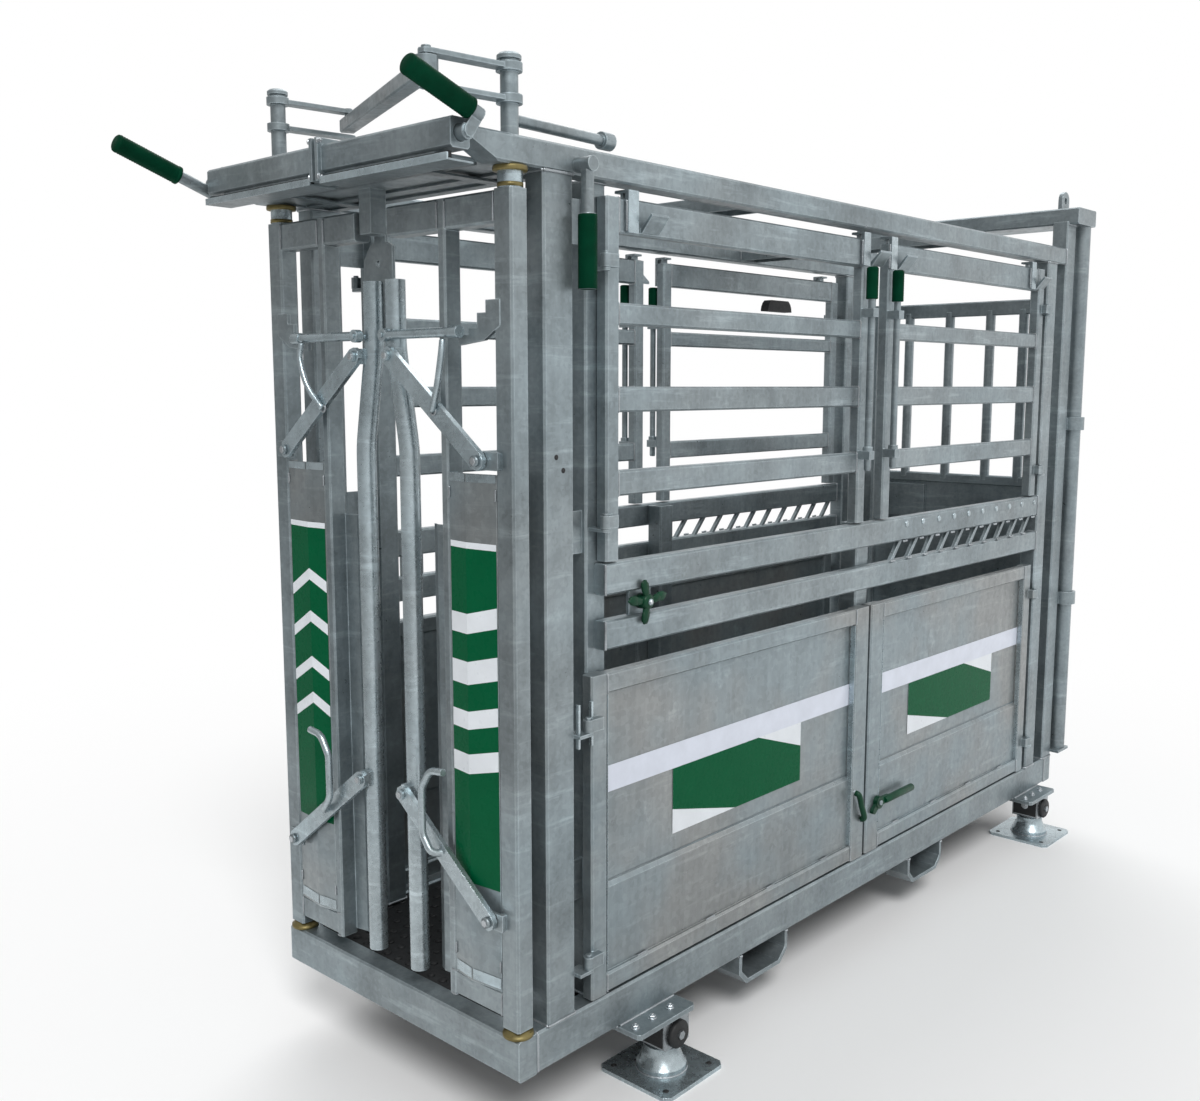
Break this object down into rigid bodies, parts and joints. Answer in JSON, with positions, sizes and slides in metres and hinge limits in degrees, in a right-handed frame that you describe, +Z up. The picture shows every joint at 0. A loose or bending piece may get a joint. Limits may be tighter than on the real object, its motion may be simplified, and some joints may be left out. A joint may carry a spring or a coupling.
{
  "type": "cattle crush",
  "caption": "Galvanised weigh crush for cattle with a self-locking headgate, barred side gates, sheeted lower doors, a rear gate and weighing feet.",
  "frame": {"origin": "on the floor under the middle of the crush", "axes": "+X towards the side with the side lever, +Y from the headgate to the rear gate, +Z up"},
  "size_m": [1.125, 3.4482, 2.505],
  "materials": {
    "galvanised": "hot-dip galvanised, matt grey with a fine spangle",
    "green_grip": "green grained plastic grip",
    "green_panel": "glossy green printed sheet",
    "rubber": "black studded rubber",
    "steel": "machined steel",
    "zinc_yellow": "yellow passivated zinc"
  },
  "bodies": {
    "crush": {"base_frame": "galvanised", "floor_mat": "rubber", "front_crossbeam": "galvanised", "front_posts_left": "galvanised", "front_posts_right": "galvanised", "load_cell_front_left": "steel", "load_cell_front_right": "steel", "load_cell_rear_left": "steel", "load_cell_rear_right": "steel", "pivot_bush_left": "zinc_yellow", "pivot_bush_right": "zinc_yellow", "rear_portal": "galvanised", "rear_post_left": "galvanised", "rear_post_right": "galvanised", "roof_channel_front": "galvanised", "roof_channel_rear": "galvanised", "side_rack_left": "galvanised", "side_rack_right": "galvanised", "top_beam_left": "galvanised", "top_beam_right": "galvanised", "weigh_foot_front_left": "galvanised", "weigh_foot_front_right": "galvanised", "weigh_foot_rear_left": "galvanised", "weigh_foot_rear_right": "galvanised"},
    "connecting_bar": {"connecting_bar": "galvanised"},
    "door_latch_left": {"door_latch_left": "green_grip"},
    "door_latch_right": {"door_latch_right": "green_grip"},
    "drop_rod_front_left": {"drop_rod_front_left": "galvanised"},
    "drop_rod_front_right": {"drop_rod_front_right": "galvanised"},
    "drop_rod_rear_left": {"drop_rod_rear_left": "galvanised"},
    "drop_rod_rear_right": {"drop_rod_rear_right": "galvanised"},
    "headgate_left": {"gate_frame_left": "galvanised", "gate_panel_left": "green_panel", "gate_shaft_left": "galvanised"},
    "headgate_right": {"gate_frame_right": "galvanised", "gate_panel_right": "green_panel", "gate_shaft_right": "galvanised"},
    "neck_left": {"latch_bar_left": "galvanised", "neck_pipe_left": "galvanised"},
    "neck_right": {"latch_bar_right": "galvanised", "neck_pipe_right": "galvanised"},
    "operating_levers": {"lever_grip_left": "green_grip", "lever_grip_right": "green_grip", "operating_shaft": "galvanised"},
    "lower_door_front_left": {"lower_door_front_left": "galvanised"},
    "lower_door_front_right": {"lower_door_front_right": "galvanised"},
    "lower_door_rear_left": {"lower_door_rear_left": "galvanised"},
    "lower_door_rear_right": {"lower_door_rear_right": "galvanised"},
    "lower_link_left": {"lower_link_left": "galvanised"},
    "lower_link_right": {"lower_link_right": "galvanised"},
    "rear_gate": {"rear_gate": "galvanised"},
    "side_lever": {"side_lever": "galvanised"},
    "upper_gate_front_left": {"upper_gate_front_left": "galvanised"},
    "upper_gate_front_right": {"upper_gate_front_right": "galvanised"},
    "upper_gate_rear_left": {"upper_gate_rear_left": "galvanised"},
    "upper_gate_rear_right": {"upper_gate_rear_right": "galvanised"},
    "upper_link_left": {"upper_link_left": "galvanised"},
    "upper_link_right": {"upper_link_right": "galvanised"},
    "wing_handle": {"wing_handle": "green_grip"}
  },
  "joints": [
    {"name": "headgate_right_swing", "type": "hinge", "parent": "crush", "child": "headgate_right", "pos_m": [0.425, -1.31069, 2.175], "axis": [0, 0, 1], "range_deg": [0, 75]},
    {"name": "headgate_left_swing", "type": "hinge", "parent": "crush", "child": "headgate_left", "pos_m": [-0.425, -1.31069, 2.175], "axis": [0, 0, -1], "range_deg": [0, 75]},
    {"name": "connecting_bar_turn", "type": "hinge", "parent": "headgate_right", "child": "connecting_bar", "pos_m": [0.395, -1.50569, 2.385], "axis": [0, 0, 1], "range_deg": [-56, 0]},
    {"name": "upper_link_right_lift", "type": "hinge", "parent": "headgate_right", "child": "upper_link_right", "pos_m": [0.365, -1.35119, 1.605], "axis": [0, 1, 0], "range_deg": [0, 20]},
    {"name": "lower_link_right_lift", "type": "hinge", "parent": "headgate_right", "child": "lower_link_right", "pos_m": [0.383, -1.35119, 0.565], "axis": [0, 1, 0], "range_deg": [0, 20]},
    {"name": "neck_right_tilt", "type": "hinge", "parent": "upper_link_right", "child": "neck_right", "pos_m": [0.065, -1.35119, 1.835], "axis": [0, 1, 0], "range_deg": [-20, 0]},
    {"name": "upper_link_left_lift", "type": "hinge", "parent": "headgate_left", "child": "upper_link_left", "pos_m": [-0.365, -1.35119, 1.605], "axis": [0, -1, 0], "range_deg": [0, 20]},
    {"name": "lower_link_left_lift", "type": "hinge", "parent": "headgate_left", "child": "lower_link_left", "pos_m": [-0.383, -1.35119, 0.565], "axis": [0, -1, 0], "range_deg": [0, 20]},
    {"name": "neck_left_tilt", "type": "hinge", "parent": "upper_link_left", "child": "neck_left", "pos_m": [-0.065, -1.35119, 1.835], "axis": [0, -1, 0], "range_deg": [-20, 0]},
    {"name": "operating_lever_pull", "type": "hinge", "parent": "crush", "child": "operating_levers", "pos_m": [0, -1.47299, 2.26], "axis": [1, 0, 0], "range_deg": [0, 40]},
    {"name": "side_lever_swing", "type": "hinge", "parent": "crush", "child": "side_lever", "pos_m": [0.483, -1.13569, 2.24], "axis": [-1, 0, 0], "range_deg": [0, 60]},
    {"name": "wing_handle_turn", "type": "hinge", "parent": "crush", "child": "wing_handle", "pos_m": [0.455, -0.90569, 1.25], "axis": [1, 0, 0], "range_deg": [-90, 90]},
    {"name": "upper_gate_front_right_swing", "type": "hinge", "parent": "crush", "child": "upper_gate_front_right", "pos_m": [0.463, -1.05569, 1.36], "axis": [0, 0, -1], "range_deg": [0, 95]},
    {"name": "drop_rod_front_right_lift", "type": "slide", "parent": "upper_gate_front_right", "child": "drop_rod_front_right", "axis": [0, 0, 1], "range_m": [0, 0.045]},
    {"name": "lower_door_front_right_swing", "type": "hinge", "parent": "crush", "child": "lower_door_front_right", "pos_m": [0.463, -1.11369, 0.295], "axis": [0, 0, -1], "range_deg": [0, 95]},
    {"name": "upper_gate_rear_right_swing", "type": "hinge", "parent": "crush", "child": "upper_gate_rear_right", "pos_m": [0.463, 1.36731, 1.36], "axis": [0, 0, 1], "range_deg": [0, 95]},
    {"name": "drop_rod_rear_right_lift", "type": "slide", "parent": "upper_gate_rear_right", "child": "drop_rod_rear_right", "axis": [0, 0, 1], "range_m": [0, 0.045]},
    {"name": "lower_door_rear_right_swing", "type": "hinge", "parent": "crush", "child": "lower_door_rear_right", "pos_m": [0.463, 1.36731, 0.295], "axis": [0, 0, 1], "range_deg": [0, 95]},
    {"name": "door_latch_right_lift", "type": "hinge", "parent": "lower_door_rear_right", "child": "door_latch_right", "pos_m": [0.455, 0.23731, 0.452], "axis": [1, 0, 0], "range_deg": [0, 75]},
    {"name": "upper_gate_front_left_swing", "type": "hinge", "parent": "crush", "child": "upper_gate_front_left", "pos_m": [-0.463, -1.05569, 1.36], "axis": [0, 0, 1], "range_deg": [0, 95]},
    {"name": "drop_rod_front_left_lift", "type": "slide", "parent": "upper_gate_front_left", "child": "drop_rod_front_left", "axis": [0, 0, 1], "range_m": [0, 0.045]},
    {"name": "lower_door_front_left_swing", "type": "hinge", "parent": "crush", "child": "lower_door_front_left", "pos_m": [-0.463, -1.11369, 0.295], "axis": [0, 0, 1], "range_deg": [0, 95]},
    {"name": "upper_gate_rear_left_swing", "type": "hinge", "parent": "crush", "child": "upper_gate_rear_left", "pos_m": [-0.463, 1.36731, 1.36], "axis": [0, 0, -1], "range_deg": [0, 95]},
    {"name": "drop_rod_rear_left_lift", "type": "slide", "parent": "upper_gate_rear_left", "child": "drop_rod_rear_left", "axis": [0, 0, 1], "range_m": [0, 0.045]},
    {"name": "lower_door_rear_left_swing", "type": "hinge", "parent": "crush", "child": "lower_door_rear_left", "pos_m": [-0.463, 1.36731, 0.295], "axis": [0, 0, -1], "range_deg": [0, 95]},
    {"name": "door_latch_left_lift", "type": "hinge", "parent": "lower_door_rear_left", "child": "door_latch_left", "pos_m": [-0.455, 0.23731, 0.452], "axis": [1, 0, 0], "range_deg": [0, 75]},
    {"name": "rear_gate_swing", "type": "hinge", "parent": "crush", "child": "rear_gate", "pos_m": [0.455, 1.68231, 0.308], "axis": [0, 0, -1], "range_deg": [0, 100]}
  ],
  "couplings": [
    {"joint": "headgate_left_swing", "follows": "headgate_right_swing", "ratio": 1},
    {"joint": "connecting_bar_turn", "follows": "headgate_right_swing", "ratio": -0.7415},
    {"joint": "lower_link_right_lift", "follows": "upper_link_right_lift", "ratio": 1},
    {"joint": "neck_right_tilt", "follows": "upper_link_right_lift", "ratio": -1},
    {"joint": "lower_link_left_lift", "follows": "upper_link_left_lift", "ratio": 1},
    {"joint": "neck_left_tilt", "follows": "upper_link_left_lift", "ratio": -1}
  ]
}
